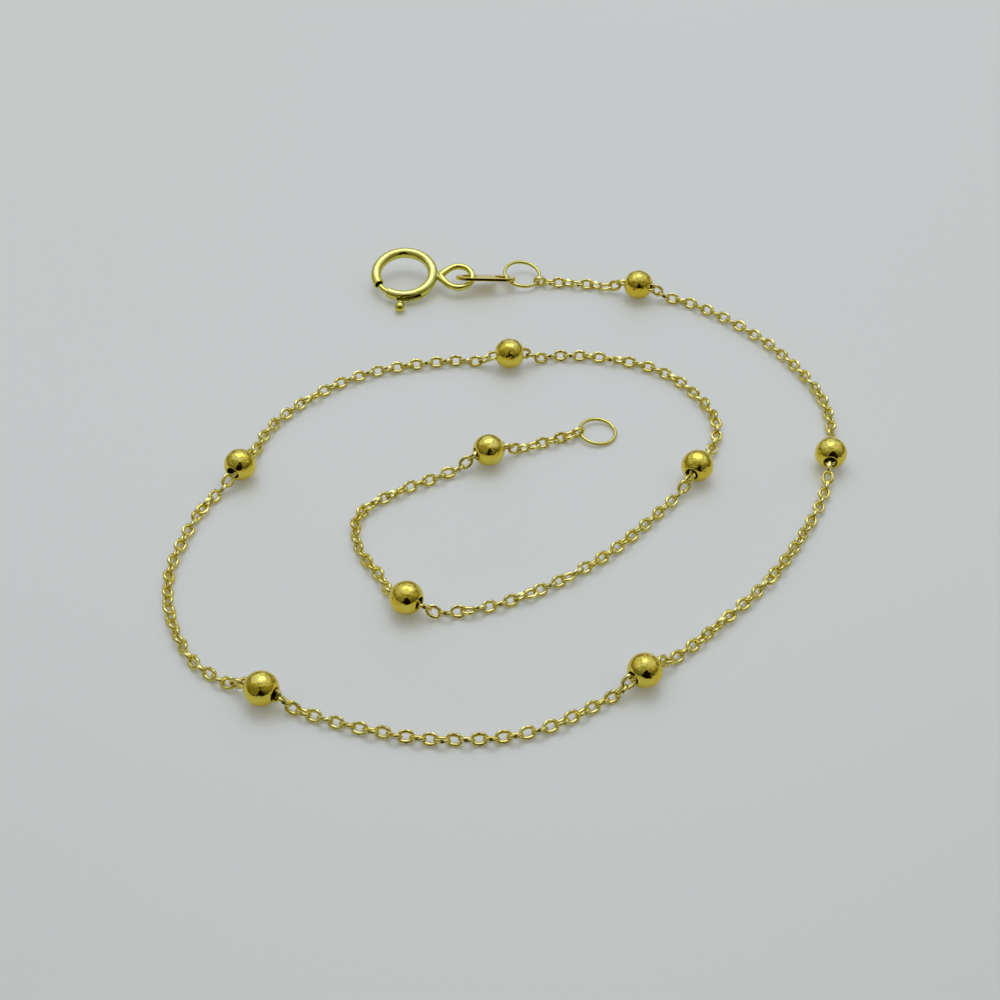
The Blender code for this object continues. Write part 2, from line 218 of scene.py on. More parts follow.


# %% [markdown]
# ## Polished yellow gold
#
# Real jeweller's gold is a bare metal: all of its colour is in what it mirrors. A polished surface
# isn't perfect, though. Tumbling and wear leave a very faint waviness, hairline scratches, and spots
# that are a little duller. The waviness is what makes the mirrored lights ragged instead of perfectly
# round. So the finish is a metallic shader with two sizes of waves and one of scratches in its bump,
# and a slow noise that shifts colour and roughness slightly. The chain's links get an extra tone each,
# because every link sat differently in the polishing barrel. Metal inside a bead or the clasp was never
# reached by the polish and stays rough, and there its colour is also painted a near black brown as shade.

# %% Gold finishes
YELLOW, YELLOW_WARM = (0.83, 0.695, 0.108, 1), (0.82, 0.62, 0.062, 1)
LIGHT, LIGHT_WARM = (0.87, 0.78, 0.245, 1), (0.85, 0.69, 0.115, 1)
PALE, PALE_WARM = (0.78, 0.74, 0.180, 1), (0.76, 0.69, 0.120, 1)
WIRE, WIRE_WARM = (0.72, 0.66, 0.160, 1), (0.70, 0.60, 0.100, 1)
# Painted shade: a near black brown for the metal inside a bead or the clasp's tube.
INSIDE_PAINTED_SHADE = (0.10, 0.055, 0.012, 1)
PATCH_SCALE, PATCH_FROM_TO = 900.0, (0.35, 0.65)
PATCH_SHARE, OWN_SHARE = 0.4, 0.6
SMALL_WAVE_TIMES, SMALL_WAVE_HEIGHT = 2.7, 0.3
SCRATCH_SCALE, SCRATCH_DETAIL = 14000.0, 3.0
ROUGH_LOW, ROUGH_RISE, DULL_ROUGHER = 0.8, 0.5, 0.4


def gold_finish(name, colours, roughness, wave, wave_size, scratch, tone_name=None, dull_shade_name=None):
    """Polished gold. Wave and scratch are bump heights in metres, and wave_size is the waves' width."""
    material = bpy.data.materials.new(name)
    material.use_nodes = True
    tree = material.node_tree
    shader = tree.nodes["Principled BSDF"]
    shader.inputs["Metallic"].default_value = 1.0
    flow = Flow(tree)
    where = coordinates(flow)
    tone = noise(flow, where, PATCH_SCALE).step(*PATCH_FROM_TO)
    if tone_name:
        tone = tone * PATCH_SHARE + attribute(flow, tone_name) * OWN_SHARE
    large = noise(flow, where, 1 / wave_size, 1.0) * wave
    small = noise(flow, where, SMALL_WAVE_TIMES / wave_size, 1.0) * (wave * SMALL_WAVE_HEIGHT)
    height = large + small + noise(flow, where, SCRATCH_SCALE, SCRATCH_DETAIL) * scratch
    bump = flow.node("ShaderNodeBump", None, {"Height": height, "Distance": 1.0, "Strength": 1.0})
    colour = mixed(flow, tone, *colours)
    rough = roughness * (ROUGH_LOW + tone * ROUGH_RISE)
    if dull_shade_name:
        # Where this mark is 1 the metal is rougher, and its colour is painted dark as shade.
        dull_and_shade = attribute(flow, dull_shade_name)
        colour = mixed(flow, dull_and_shade, colour, INSIDE_PAINTED_SHADE)
        rough = rough + dull_and_shade * DULL_ROUGHER
    for key, value in {"Base Color": colour, "Roughness": rough, "Normal": bump}.items():
        tree.links.new(value.socket, shader.inputs[key])
    return material


BEAD_GOLD = gold_finish("bead_gold", (YELLOW, YELLOW_WARM), roughness=0.08, wave=0.000080,
                        wave_size=0.0006, scratch=0.0000014, dull_shade_name="inside")
RING_GOLD = gold_finish("ring_gold", (PALE, PALE_WARM), roughness=0.18, wave=0.000030,
                        wave_size=0.0007, scratch=0.0000015)
BOLT_GOLD = gold_finish("bolt_gold", (PALE, PALE_WARM), roughness=0.15, wave=0.000030,
                        wave_size=0.0007, scratch=0.0000015, dull_shade_name="inside")
WIRE_GOLD = gold_finish("wire_gold", (WIRE, WIRE_WARM), roughness=0.26, wave=0.000016,
                        wave_size=0.0006, scratch=0.0000020)
LINK_GOLD = gold_finish("link_gold", (LIGHT, LIGHT_WARM), roughness=0.22, wave=0.000012,
                        wave_size=0.0004, scratch=0.0000020, tone_name="tone")
TAG_GOLD = gold_finish("tag_gold", (YELLOW, YELLOW_WARM), roughness=0.14, wave=0.000008,
                       wave_size=0.0007, scratch=0.0000020)
print("finishes", [m.name for m in (BEAD_GOLD, RING_GOLD, BOLT_GOLD, WIRE_GOLD, LINK_GOLD, TAG_GOLD)])

# %% [markdown]
# ## The chain's route
#
# The route is the chain's middle line seen from above, through a few points that were read off the
# photograph, from the clasp's end to the bare ring. A centripetal Catmull-Rom curve joins them without
# loops or overshoot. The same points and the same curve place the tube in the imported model, so the
# links land exactly on it.

# %% Route
CHAIN_LENGTH = 0.23415
CURVE_STEPS = 24
ROUTE = np.array((
    (0.0022, 0.0243), (0.0067, 0.0239), (0.0107, 0.0228), (0.0155, 0.0210), (0.0215, 0.0153),
    (0.0250, 0.0079), (0.0245, 0.0010), (0.0234, -0.0032), (0.0192, -0.0108), (0.0135, -0.0172),
    (0.0087, -0.0214), (0.0059, -0.0234), (0.0010, -0.0261), (-0.0054, -0.0268), (-0.0121, -0.0254),
    (-0.0176, -0.0230), (-0.0227, -0.0199), (-0.0255, -0.0124), (-0.0239, -0.0044), (-0.0213, -0.0004),
    (-0.0193, 0.0055), (-0.0134, 0.0111), (-0.0057, 0.0133), (-0.0005, 0.0132), (0.0047, 0.0141),
    (0.0121, 0.0119), (0.0160, 0.0055), (0.0140, -0.0005), (0.0112, -0.0043), (0.0050, -0.0107),
    (-0.0028, -0.0148), (-0.0082, -0.0148), (-0.0102, -0.0114), (-0.0119, -0.0083), (-0.0119, -0.0050),
    (-0.0094, -0.0027), (-0.0055, -0.0005), (-0.0022, 0.0014), (0.0014, 0.0028), (0.0049, 0.0043)))
BEAD_STOPS = [2, 6, 10, 15, 19, 23, 27, 31, 37]


def smooth_route(stops, steps):
    """Centripetal Catmull-Rom: three rounds of blends between four neighbours, timed by root distance."""
    padded = np.vstack((2 * stops[0] - stops[1], stops, 2 * stops[-1] - stops[-2]))
    spans = len(stops) - 1
    knots = np.concatenate(([0], np.cumsum(np.linalg.norm(np.diff(padded, axis=0), axis=1) ** 0.5)))
    a, b, c, d = (padded[k:k + spans, None] for k in range(4))
    ka, kb, kc, kd = (knots[k:k + spans, None, None] for k in range(4))
    t = kb + (kc - kb) * np.linspace(0, 1, steps, endpoint=False)[None, :, None]
    ab = ((kb - t) * a + (t - ka) * b) / (kb - ka)
    bc = ((kc - t) * b + (t - kb) * c) / (kc - kb)
    cd = ((kd - t) * c + (t - kc) * d) / (kd - kc)
    abc = ((kc - t) * ab + (t - ka) * bc) / (kc - ka)
    bcd = ((kd - t) * bc + (t - kb) * cd) / (kd - kb)
    curve = ((kc - t) * abc + (t - kb) * bcd) / (kc - kb)
    return np.vstack((curve.reshape(-1, 2), stops[-1]))


PLAN = smooth_route(ROUTE, CURVE_STEPS)
ALONG = np.concatenate(([0], np.cumsum(np.linalg.norm(np.diff(PLAN, axis=0), axis=1))))
PLAN, ALONG = PLAN * CHAIN_LENGTH / ALONG[-1], ALONG * CHAIN_LENGTH / ALONG[-1]
BEAD_AT = ALONG[::CURVE_STEPS][BEAD_STOPS]
print("beads along the chain, mm:", np.round(BEAD_AT * 1000, 1))

# %% [markdown]
# ## How high the chain runs
#
# A bead holds the chain up, because its hole is half a bead above the table. The chain rests on the
# bottom of the hole, drops steeply just outside each mouth, and lies on the table the rest of the way.
# A smooth step each side of every bead gives that height. The rising stretches are a little longer than
# they look from above, so the links are counted along the line in space.

# %% Chain height
LINK_LENGTH, LINK_WIDTH, LINK_WIRE, LINK_END_WIRE = 0.00122, 0.00097, 0.00028, 0.00020
BEAD_DIAMETER, BEAD_BORE, BEAD_WALL = 0.0025, 0.00098, 0.00022
TABLE_HEIGHT = 0.000425
SAG_IN_HOLE = 0.00007
HOLE_HEIGHT = BEAD_DIAMETER / 2 - SAG_IN_HOLE
SLOPE_FROM, SLOPE_TO = 0.00115, 0.00275
LINE_POINTS = 12000


def chain_height(at):
    """Table height, and near a bead a smooth step 3t² - 2t³ up to the bottom of its hole."""
    away = np.abs(at[:, None] - BEAD_AT[None]).min(axis=1)
    share = np.clip((SLOPE_TO - away) / (SLOPE_TO - SLOPE_FROM), 0, 1)
    return TABLE_HEIGHT + (HOLE_HEIGHT - TABLE_HEIGHT) * share ** 2 * (3 - 2 * share)


FINE = np.linspace(0, CHAIN_LENGTH, LINE_POINTS)
LINE = np.column_stack([np.interp(FINE, ALONG, PLAN[:, k]) for k in range(2)] + [chain_height(FINE)])
LINE_LENGTH = np.concatenate(([0], np.cumsum(np.linalg.norm(np.diff(LINE, axis=0), axis=1))))
print("chain's length in space, mm:", round(LINE_LENGTH[-1] * 1000, 1))

# %% [markdown]
# ## Where the links lie
#
# Each link of a cable chain stands square to its neighbours. On a table, that makes them lean left and
# right by turns, 45 degrees each way. Here and there the chain has a quarter twist in it, and the open
# side of the next links changes over. The table below lists such places: the length along the chain, in
# millimetres, of a link that turns its open side to the viewer, and how many links it is from the one
# before. Between them the links are evenly spaced, and a quarter twist is shared out when the count
# asks for one.

# %% Link places
OPEN_LINKS = (
    (1.65, 2), (4.1, 3), (6.58, 3), (11.73, 7), (23.5, 14), (33.2, 12), (46.2, 16), (50.95, 6), (53.3, 3),
    (55.07, 2), (59.07, 5), (62.2, 4), (68.2, 8), (69.87, 2), (78.2, 10), (91.3, 16), (98.1, 9), (101.5, 4),
    (104.6, 4), (114.4, 12), (117.7, 4), (123.87, 8), (130.07, 8), (132.6, 3), (145.8, 16), (151.3, 7),
    (156.2, 6), (158.8, 3), (165.3, 8), (177.9, 16), (181.3, 4), (189.5, 10), (191.9, 3), (193.5, 2),
    (195.9, 3), (197.6, 2), (199.9, 3), (201.6, 2), (208.0, 8), (215.07, 9), (217.2, 3), (219.6, 3),
    (221.2, 2), (222.9, 2), (224.5, 2), (228.7, 6), (231.07, 3), (234.15, 4))
# Nearly straight towards the viewer, both leans look alike, so no twist is asked for there.
SIDEWAYS_LIMIT = 0.35
DIRECTION_REACH = 0.0003


def direction_at(at):
    """The route's unit direction, seen from above."""
    ahead, behind = at + DIRECTION_REACH, at - DIRECTION_REACH
    step = np.column_stack([np.interp(ahead, ALONG, PLAN[:, k]) - np.interp(behind, ALONG, PLAN[:, k])
                            for k in range(2)])
    return step / np.linalg.norm(step, axis=1)[:, None]


def link_places():
    """Each link's length along the line in space, and its roll about the chain, in radians."""
    marks = np.array([0.0] + [mark for mark, count in OPEN_LINKS]) / 1000
    numbers = np.cumsum([0] + [count for mark, count in OPEN_LINKS])
    each = np.arange(numbers[-1] + 1)
    lengths = np.interp(each, numbers, np.interp(marks, FINE, LINE_LENGTH))
    sideways = direction_at(marks)[:, 0]
    rolls = [math.pi / 2]
    for k in range(1, len(marks)):
        natural = rolls[-1] + math.pi / 2 * (numbers[k] - numbers[k - 1])
        wanted = math.copysign(math.pi / 4, sideways[k])
        if k == len(marks) - 1:
            wanted = math.pi / 2
        turn = (wanted - natural + math.pi / 2) % math.pi - math.pi / 2
        rolls.append(natural + (turn if abs(sideways[k]) >= SIDEWAYS_LIMIT else 0.0))
    return lengths, np.interp(each, numbers, rolls)


LINK_AT, LINK_ROLL = link_places()
print(len(LINK_AT), "links, longest step mm:", round(float(np.diff(LINK_AT).max()) * 1000, 3))

# %% [markdown]
# ## One link
#
# A link is a ring of wire pulled into an oval and soldered shut. After the chain is woven, its sides
# are shaved with a diamond tool, which leaves the small bright flats that make it sparkle. The middle
# line is a superellipse, a little squarer than an ellipse, and a six-sided wire runs along it with one
# side turned outwards. On the long sides that outer side is cut to one plane and keeps crisp edges, so
# that it mirrors like a flat. The ends, worn by their neighbours, are a little thinner than the sides.

# %% Link grid
LINK_STEPS, LINK_SIDES = 14, 6
OVAL_POWER = 2.4
FLAT_WIDENING, FLAT_CUT = 0.55, 0.00003
WIDENING_POWER = 4
# A row belongs to a flat, and a corner to its edges, when it points this much sideways or outwards.
FLAT_LIMIT, CORNER_LIMIT = 0.85, 0.5


def link_grid():
    """Superellipse |x/a|^p + |y/b|^p = 1, and round it a wire: middle + r outward cos v + s up sin v."""
    u = np.linspace(0, math.tau, LINK_STEPS, endpoint=False) + math.pi / LINK_STEPS
    half = np.array(((LINK_LENGTH - LINK_END_WIRE) / 2, (LINK_WIDTH - LINK_WIRE) / 2))
    round_trip = np.column_stack((np.cos(u), np.sin(u)))
    middle = half * np.sign(round_trip) * np.abs(round_trip) ** (2 / OVAL_POWER)
    along = np.roll(middle, -1, axis=0) - np.roll(middle, 1, axis=0)
    along /= np.linalg.norm(along, axis=1)[:, None]
    out = np.column_stack((along[:, 1], -along[:, 0], np.zeros(LINK_STEPS)))
    sideways = np.abs(out[:, 1])
    v = math.pi / LINK_SIDES + np.arange(LINK_SIDES) * math.tau / LINK_SIDES
    outer_corner = np.cos(v) > CORNER_LIMIT
    widen = 1 + FLAT_WIDENING * outer_corner[None] * (sideways ** WIDENING_POWER)[:, None]
    in_plane = (LINK_END_WIRE + (LINK_WIRE - LINK_END_WIRE) * sideways)[:, None, None] / 2
    wire = (out[:, None] * in_plane * np.cos(v)[None, :, None]
            + np.array((0, 0, LINK_WIRE / 2)) * (np.sin(v)[None] * widen)[:, :, None])
    grid = np.column_stack((middle, np.zeros(LINK_STEPS)))[:, None] + wire
    # The tool's plane: the outer corners of the rows on a flat are moved onto it. 1 and 2 name the two long
    # edges of each flat.
    on_flat = sideways > FLAT_LIMIT
    flat_edge = np.zeros((LINK_STEPS, LINK_SIDES), int)
    for corner, edge in ((0, 1), (-1, 2)):
        grid[on_flat, corner, 1] = np.sign(out[on_flat, 1]) * (LINK_WIDTH / 2 - FLAT_CUT)
        flat_edge[on_flat, corner] = edge
    return grid, flat_edge


LINK_GRID, FLAT_EDGE = link_grid()
print("one link:", LINK_STEPS * LINK_SIDES, "faces,", int((FLAT_EDGE[:, 0] > 0).sum()), "rows on flats")

# %% [markdown]
# ## All the links
#
# Every link is the same grid, turned to point along the chain there, rolled by its own lean, and moved
# to its place. A chain that lies loosely isn't perfectly even, so a seeded random draw nudges each link
# slightly. All the links of a half are computed in one array operation and joined in one mesh. A number
# for each link, its tone, goes into the mesh for the finish to read.

# %% Chain links
ROLL_JITTER, YAW_JITTER, SHIFT_JITTER = math.radians(8), math.radians(5), 0.00002
END_LINK_HEIGHT = 0.0005
PLACE_SEED, TONE_SEED = 7, 11
MEETING_BEAD = 5


def link_frames(lengths, rolls):
    """Middle points, and for each link the unit vectors along it, across it and square to both."""
    draw = np.random.default_rng(PLACE_SEED)
    middle = np.column_stack([np.interp(lengths, LINE_LENGTH, LINE[:, k]) for k in range(3)])
    middle[[0, -1], 2] = END_LINK_HEIGHT
    along = np.gradient(middle, axis=0)
    along[:, :2] += along[:, 1::-1] * (-1, 1) * draw.normal(0, YAW_JITTER, (len(middle), 1))
    along /= np.linalg.norm(along, axis=1)[:, None]
    level = np.cross((0, 0, 1), along)
    level /= np.linalg.norm(level, axis=1)[:, None]
    up = np.cross(along, level)
    loose = draw.normal(0, ROLL_JITTER, len(middle))
    loose[[0, -1]] = 0
    roll = (rolls + loose)[:, None]
    across = level * np.cos(roll) + up * np.sin(roll)
    shift = draw.normal(0, SHIFT_JITTER, middle.shape) * (1, 1, 0)
    shift[[0, -1]] = 0
    return middle + shift, np.stack((along, across, np.cross(along, across)), axis=1)


def chain_piece(name, chosen):
    """The chosen links as one mesh, with the flats' edges sharp and a tone for each link."""
    links = np.einsum("ijk,nkl->nijl", LINK_GRID, LINK_AXES[chosen])
    links = links + LINK_MIDDLES[chosen, None, None]
    points, quads = outward(*skin(LINK_GRID, close_rows=True))
    starts = np.arange(len(links))[:, None, None] * len(points)
    thing = piece(name, [(links.reshape(-1, 3), (quads[None] + starts).reshape(-1, 4))], LINK_GOLD)
    mesh = thing.data
    tones = np.random.default_rng(TONE_SEED).random(len(LINK_MIDDLES))[chosen]
    tone = np.repeat(tones, len(points)).astype(np.float32)
    mesh.attributes.new("tone", "FLOAT", "POINT").data.foreach_set("value", tone)
    ends = np.zeros(len(mesh.edges) * 2, np.int32)
    mesh.edges.foreach_get("vertices", ends)
    names = np.tile(FLAT_EDGE.ravel(), len(links))[ends.reshape(-1, 2)]
    sharp = (names[:, 0] == names[:, 1]) & (names[:, 0] > 0)
    mesh.attributes.new("sharp_edge", "BOOLEAN", "EDGE").data.foreach_set("value", sharp)
    return thing


LINK_MIDDLES, LINK_AXES = link_frames(LINK_AT, LINK_ROLL)
in_outer = LINK_AT <= np.interp(BEAD_AT[MEETING_BEAD - 1], FINE, LINE_LENGTH)
chain_outer = chain_piece("chain_links_outer", in_outer)
chain_inner = chain_piece("chain_links_inner", ~in_outer)
for thing, node in ((chain_outer, "chain_outer"), (chain_inner, "chain_inner")):
    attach(thing, "anklet")
    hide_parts(node)

# %% [markdown]
# ## The ball beads
#
# A bead like this is pressed from thin sheet in two halves, soldered, drilled through and polished, so
# it is a hollow ball with a hole whose edge is slightly rolled in. The profile below runs over the
# outside from mouth to mouth, round the rolled edge, along the short wall of the hole, and back over
# the inside. Turned about the chain's direction, it makes a closed skin with a real dark hollow behind
# each mouth.

# %% Bead profile
BEAD_EDGE = 0.00008
BEAD_SIDES = 64
OUTSIDE_ROWS, EDGE_ROWS, INSIDE_ROWS = 49, 5, 25


def bead_profile():
    """(radius, height) round the wall: rolled edge, outside, the other rolled edge, and back inside."""
    outer, inner, hole = BEAD_DIAMETER / 2, BEAD_DIAMETER / 2 - BEAD_WALL, BEAD_BORE / 2
    first = math.asin((hole + BEAD_EDGE) / outer)
    a = np.linspace(first, math.pi - first, OUTSIDE_ROWS)
    outside = np.column_stack((outer * np.sin(a), outer * np.cos(a)))
    t = np.linspace(0, math.pi / 2, EDGE_ROWS + 1)[1:]
    top = outer * math.cos(first)
    edge = np.column_stack((hole + BEAD_EDGE * (1 - np.sin(t)), top - BEAD_EDGE * (1 - np.cos(t))))
    a = np.linspace(math.asin(hole / inner), math.pi - math.asin(hole / inner), INSIDE_ROWS)
    inside = np.column_stack((inner * np.sin(a), inner * np.cos(a)))
    return np.vstack((edge[::-1], outside, edge * (1, -1), inside[::-1]))


def turned(profile, sides):
    """A profile of (radius, height) turned about Z: x = r cos w, y = r sin w, z = h."""
    w = np.linspace(0, math.tau, sides, endpoint=False)[:, None]
    radius, height = profile[:, 0], np.broadcast_to(profile[:, 1], (sides, len(profile)))
    return np.stack((radius * np.cos(w), radius * np.sin(w), height), axis=-1)


BEAD_LINE = bead_profile()
BEAD_SKIN = outward(*skin(turned(BEAD_LINE, BEAD_SIDES), close_rows=True))
is_inside = np.arange(len(BEAD_LINE)) >= len(BEAD_LINE) - INSIDE_ROWS
BEAD_INSIDE = np.tile(is_inside, BEAD_SIDES).astype(np.float32)
print("bead metal, cubic mm:", round(volume(*BEAD_SKIN) * 1e9, 2))

# %% [markdown]
# ## Nine beads in place
#
# Each bead sits where the imported model has it, with its hole along the chain. The points on the inside
# carry a mark, so that the finish leaves them rough and paints them dark as shade.

# %% Beads in place
for number, (at, way) in enumerate(zip(BEAD_AT, direction_at(BEAD_AT)), start=1):
    low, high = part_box(f"bead_{number}")
    turn = Euler((0, math.pi / 2, math.atan2(way[1], way[0]))).to_matrix().to_4x4()
    ball = piece(f"ball_bead_{number}", [BEAD_SKIN], BEAD_GOLD, Matrix.Translation((low + high) / 2) @ turn)
    # The inside is made rougher and painted dark as shade.
    ball.data.attributes.new("inside", "FLOAT", "POINT").data.foreach_set("value", BEAD_INSIDE)
    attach(ball, "anklet")
    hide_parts(f"bead_{number}")

# %% [markdown]
# ## Wires
#
# The rings, the clasp's loop and its bolt are all wire: a circle carried along a path. The circle's own
# directions come from the path's direction and one fixed axis that the path turns about, which is
# enough for flat paths. The wire's radius may change along the way and round it, so an end can be
# rounded off by letting it shrink to nothing, and solder can swell one side.

# %% Wire grid
def wire_grid(path, radius, sides, closed=False):
    """Path + radius (side cos v + up sin v): side is level and square to the path, up is square to both."""
    if closed:
        along = np.roll(path, -1, axis=0) - np.roll(path, 1, axis=0)
    else:
        along = np.gradient(path, axis=0)
    along /= np.linalg.norm(along, axis=1)[:, None]
    side = np.cross(along, (0, 0, 1))
    side /= np.linalg.norm(side, axis=1)[:, None]
    up = np.cross(side, along)
    v = np.linspace(0, math.tau, sides, endpoint=False)[None, :, None]
    radius = radius[..., None] if radius.ndim == 2 else radius[:, None, None]
    return path[:, None] + radius * (side[:, None] * np.cos(v) + up[:, None] * np.sin(v))


def rounded_ends(count, radius, reach):
    """Radii along a wire of count points: full in the middle, a half-round over a share at each end."""
    near = np.minimum(np.linspace(0, 1, count), np.linspace(1, 0, count))
    return radius * np.sqrt(np.clip(1 - (1 - np.clip(near / reach, 0, 1)) ** 2, 0, 1))


def circle(radius, start, stop, count, closed=False):
    """Points (r cos a, r sin a, 0) from the start angle to the stop angle."""
    a = np.linspace(start, stop, count, endpoint=not closed)
    return np.column_stack((radius * np.cos(a), radius * np.sin(a), np.zeros(count)))


def middle_of(node):
    """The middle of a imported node's box."""
    low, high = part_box(node)
    return (low + high) / 2


def degrees(*angles):
    """A turn about x, y and z, given in degrees."""
    return Euler([math.radians(angle) for angle in angles])


print("radii of a wire with round ends:", np.round(rounded_ends(7, 1.0, 0.3), 2))

# %% [markdown]
# ## The jump ring and the end ring
#
# Both are plain rings of fine wire. A jump ring is cut from a coil, closed and soldered, and the joint
# is a slight waist in the wire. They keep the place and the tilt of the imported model.

# %% Plain rings
RING_SIDES, RING_STEPS = 16, 120
SEAM_DEPTH, SEAM_WIDTH = 0.07, 0.05
JUMP_DIAMETER, JUMP_WIRE, JUMP_TURN, JUMP_SEAM = 0.0034, 0.00029, degrees(6, 8, 0), math.radians(70)
CATCH_DIAMETER, CATCH_WIRE, CATCH_TURN, CATCH_SEAM = 0.00314, 0.00028, degrees(2, 5.5, 0), math.radians(20)


def plain_ring(name, node, diameter, wire, turn, seam_at):
    """A ring of wire whose radius is r (1 - depth exp(-(angle / width)²)) near its soldered joint."""
    a = np.linspace(0, math.tau, RING_STEPS, endpoint=False)
    off = (a - seam_at + math.pi) % math.tau - math.pi
    radius = wire / 2 * (1 - SEAM_DEPTH * np.exp(-(off / SEAM_WIDTH) ** 2))
    path = circle((diameter - wire) / 2, 0, math.tau, RING_STEPS, closed=True)
    grid = wire_grid(path, radius, RING_SIDES, closed=True)
    place = Matrix.Translation(middle_of(node)) @ turn.to_matrix().to_4x4()
    thing = piece(name, [outward(*skin(grid, close_rows=True))], WIRE_GOLD, place)
    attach(thing, "anklet")
    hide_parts(node)
    return thing


jump_ring = plain_ring("clasp_jump_ring", "jump_ring", JUMP_DIAMETER, JUMP_WIRE, JUMP_TURN, JUMP_SEAM)
end_ring = plain_ring("catch_ring", "end_ring", CATCH_DIAMETER, CATCH_WIRE, CATCH_TURN, CATCH_SEAM)

# %% [markdown]
# ## The spring ring
#
# A spring ring is a length of thin tube bent into a ring, with a gap that a sliding bolt closes. A slot
# in the outer side lets the bolt's knob through. The tube's skin is a grid round the ring and round the
# tube. The quads in the slot are left out, a Solidify modifier gives the sheet its thickness, and a
# Bevel modifier takes the sharpness off its cut edges.

# %% Spring ring tube
CLASP_TURN = degrees(12.5, 0, 0)
CLASP_PLACE = Matrix.Translation(Vector(frame["joints"][0]["pos_m"])) @ CLASP_TURN.to_matrix().to_4x4()
CLASP_DIAMETER, CLASP_TUBE, CLASP_WALL = 0.0058, 0.00091, 0.00010
CLASP_RADIUS = 0.00247
GATE_FIRST, GATE_LAST, KNOB_ANGLE = math.radians(208), math.radians(237), math.radians(265.5)
SLOT_FIRST, SLOT_LAST = KNOB_ANGLE - math.radians(6.3), KNOB_ANGLE + math.radians(36.3)
SLOT_LOW, SLOT_HIGH = math.radians(-26), math.radians(37.5)
TUBE_STEPS, TUBE_SIDES = 216, 48
EDGE_WIDTH, EDGE_SEGMENTS, EDGE_ANGLE = 0.00002, 2, math.radians(60)


def spring_ring_sheet():
    """The tube's skin without the slot: x = (R + r cos v) cos u, y = (R + r cos v) sin u, z = r sin v."""
    u = np.linspace(GATE_LAST, GATE_FIRST + math.tau, TUBE_STEPS)[:, None]
    v = ((np.arange(TUBE_SIDES) * math.tau / TUBE_SIDES + math.pi) % math.tau - math.pi)[None]
    ring = CLASP_RADIUS + CLASP_TUBE / 2 * np.cos(v)
    grid = np.stack((ring * np.cos(u), ring * np.sin(u), CLASP_TUBE / 2 * np.sin(v) + 0 * u), axis=-1)
    points, quads = skin(grid)
    u_mid = ((u[:-1] + u[1:]) / 2 + 0 * v).ravel()
    v_mid = (v + math.pi / TUBE_SIDES + 0 * u[1:]).ravel()
    in_slot = (u_mid > SLOT_FIRST) & (u_mid < SLOT_LAST) & (v_mid > SLOT_LOW) & (v_mid < SLOT_HIGH)
    print("quads left out for the slot:", int(in_slot.sum()))
    return points, quads[~in_slot]


tube = piece("spring_ring_tube", [spring_ring_sheet()], RING_GOLD, CLASP_PLACE)
wall = tube.modifiers.new("sheet", "SOLIDIFY")
wall.thickness = CLASP_WALL
wall.offset = -1
edges = tube.modifiers.new("edges", "BEVEL")
edges.width = EDGE_WIDTH
edges.segments = EDGE_SEGMENTS
edges.limit_method = "ANGLE"
edges.angle_limit = EDGE_ANGLE
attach(tube, "anklet")
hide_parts("spring_ring")

# %% [markdown]
# ## The slot's lip
#
# Along its lower edge the slot is stiffened by a rolled lip, so that the thumbnail doesn't bend the
# thin sheet. It is thickest by the knob and thins out towards the far end, where it runs back into the
# tube. It is a wire with an oval section. Its middle line follows the ring, further out where it is
# thick, and sinks into the wall at its ends.

# %% Slot's lip
LIP_HALF_OUT, LIP_HALF_UP, LIP_BELOW = 0.00023, 0.00007, 0.00024
LIP_NEAR, LIP_FAR = 0.00027, 0.00037
# Angles round the ring, in degrees: the lip starts, is full, begins to fade, and ends.
LIP_FIRST, LIP_FULL, LIP_FADING, LIP_LAST = 257, 264, 283, 333
LIP_STEPS, LIP_SIDES = 90, 20


def slot_lip():
    """A wire along the ring: radius a b / sqrt((b cos v)² + (a sin v)²) times a smooth rise and fall."""
    u = np.linspace(LIP_FIRST, LIP_LAST, LIP_STEPS)
    rise = np.clip((u - LIP_FIRST) / (LIP_FULL - LIP_FIRST), 0, 1)
    share = np.sqrt(np.minimum(rise, np.clip((LIP_LAST - u) / (LIP_LAST - LIP_FADING), 0, 1)))
    reach = CLASP_RADIUS + LIP_NEAR + (LIP_FAR - LIP_NEAR) * share
    u = np.radians(u)
    path = np.column_stack((reach * np.cos(u), reach * np.sin(u), np.full(len(u), -LIP_BELOW)))
    v = np.linspace(0, math.tau, LIP_SIDES, endpoint=False)
    section = LIP_HALF_OUT * LIP_HALF_UP / np.hypot(LIP_HALF_UP * np.cos(v), LIP_HALF_OUT * np.sin(v))
    return wire_grid(path, share[:, None] * section, LIP_SIDES)


WELD = 1e-8
lip = piece("slot_lip", [outward(*skin(slot_lip()))], RING_GOLD, CLASP_PLACE, weld=WELD)
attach(lip, "anklet")

# %% [markdown]
# ## The clasp's loop
#
# A small closed loop is soldered to the ring to carry the rest of the anklet. It is bent from thick
# wire to a drop shape, with its point against the ring, and solder has filled the corner there. The
# path is a circle's arc with two straight runs to the point, smoothed a little, and near the point the
# wire's inner side swells.

# %% Clasp loop
LOOP_WIDTH, LOOP_WIRE, LOOP_NECK = 0.0030, 0.00055, 0.00033
LOOP_ANGLE = math.radians(-4)
LOOP_RADIUS = (LOOP_WIDTH - LOOP_WIRE) / 2
LOOP_REACH = CLASP_DIAMETER / 2 + LOOP_NECK + LOOP_WIDTH / 2
POINT_REACH = LOOP_REACH - CLASP_DIAMETER / 2 + CLASP_WALL
SOLDER_SWELL, SOLDER_REACH = 1.0, 0.00060
ARC_STEPS, LOOP_STEPS, LOOP_SIDES, SMOOTHINGS = 60, 120, 20, 4


